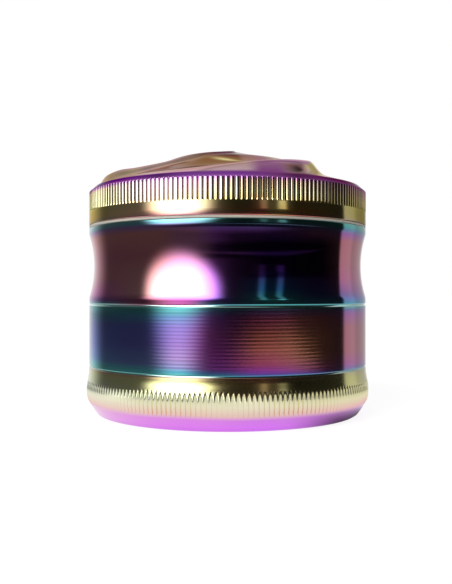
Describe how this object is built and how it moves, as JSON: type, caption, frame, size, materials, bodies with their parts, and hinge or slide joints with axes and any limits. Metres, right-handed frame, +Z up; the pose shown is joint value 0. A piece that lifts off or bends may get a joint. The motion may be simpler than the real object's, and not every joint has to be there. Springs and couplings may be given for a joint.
{
  "type": "herb grinder",
  "caption": "Round metal hand grinder: sculpted knurled lid with teeth, waisted grinding cup, sieve barrel and flared catch base, screwed together.",
  "frame": {"origin": "on the turning axis at the underside of the catch base", "axes": "+Z up along the turning axis, towards the lid's crown; -Y is the side that faces the viewer"},
  "size_m": [0.0632, 0.0632, 0.059],
  "materials": {
    "base_metal": "mirror-bright rainbow coating, gold to violet",
    "barrel_metal": "mirror-bright rainbow coating, blue to violet, fine turning marks",
    "cup_metal": "mirror-bright rainbow coating, violet to teal",
    "lid_metal": "mirror-bright rainbow coating, gold, rose and violet",
    "steel": "bright stainless steel",
    "sieve_steel": "woven stainless wire",
    "magnet": "nickel-plated",
    "nylon": "natural nylon"
  },
  "bodies": {
    "base": {"catch_base": "base_metal"},
    "barrel_seat": {"screen_retaining_ring": "steel"},
    "barrel": {"collection_barrel": "barrel_metal", "screen_frame": "steel", "screen_mesh": "sieve_steel"},
    "cup_seat": {"chamber_magnet": "magnet"},
    "cup": {"grinding_chamber": "cup_metal", "cup_tooth_01": "cup_metal", "cup_tooth_02": "cup_metal", "cup_tooth_03": "cup_metal", "cup_tooth_04": "cup_metal", "cup_tooth_05": "cup_metal", "cup_tooth_06": "cup_metal", "cup_tooth_07": "cup_metal", "cup_tooth_08": "cup_metal", "cup_tooth_09": "cup_metal", "cup_tooth_10": "cup_metal", "cup_tooth_11": "cup_metal", "cup_tooth_12": "cup_metal", "cup_tooth_13": "cup_metal", "cup_tooth_14": "cup_metal", "cup_tooth_15": "cup_metal", "cup_tooth_16": "cup_metal", "cup_tooth_17": "cup_metal", "cup_tooth_18": "cup_metal", "cup_tooth_19": "cup_metal", "cup_tooth_20": "cup_metal"},
    "lid_seat": {"lid_magnet": "magnet"},
    "lid": {"lid": "lid_metal", "friction_ring": "nylon", "lid_tooth_01": "lid_metal", "lid_tooth_02": "lid_metal", "lid_tooth_03": "lid_metal", "lid_tooth_04": "lid_metal", "lid_tooth_05": "lid_metal", "lid_tooth_06": "lid_metal", "lid_tooth_07": "lid_metal", "lid_tooth_08": "lid_metal", "lid_tooth_09": "lid_metal", "lid_tooth_10": "lid_metal", "lid_tooth_11": "lid_metal", "lid_tooth_12": "lid_metal"}
  },
  "joints": [
    {"name": "barrel_lift", "type": "slide", "parent": "base", "child": "barrel_seat", "axis": [0, 0, 1], "range_m": [0, 0.03]},
    {"name": "barrel_unscrew", "type": "hinge", "parent": "barrel_seat", "child": "barrel", "pos_m": [0, 0, 0.0109], "axis": [0, 0, 1], "range_deg": [0, 720]},
    {"name": "cup_lift", "type": "slide", "parent": "barrel", "child": "cup_seat", "axis": [0, 0, 1], "range_m": [0, 0.03]},
    {"name": "cup_unscrew", "type": "hinge", "parent": "cup_seat", "child": "cup", "pos_m": [0, 0, 0.0244], "axis": [0, 0, 1], "range_deg": [0, 720]},
    {"name": "lid_lift", "type": "slide", "parent": "cup", "child": "lid_seat", "axis": [0, 0, 1], "range_m": [0, 0.04]},
    {"name": "lid_spin", "type": "hinge", "parent": "lid_seat", "child": "lid", "pos_m": [0, 0, 0.0416], "axis": [0, 0, 1], "continuous": true}
  ]
}
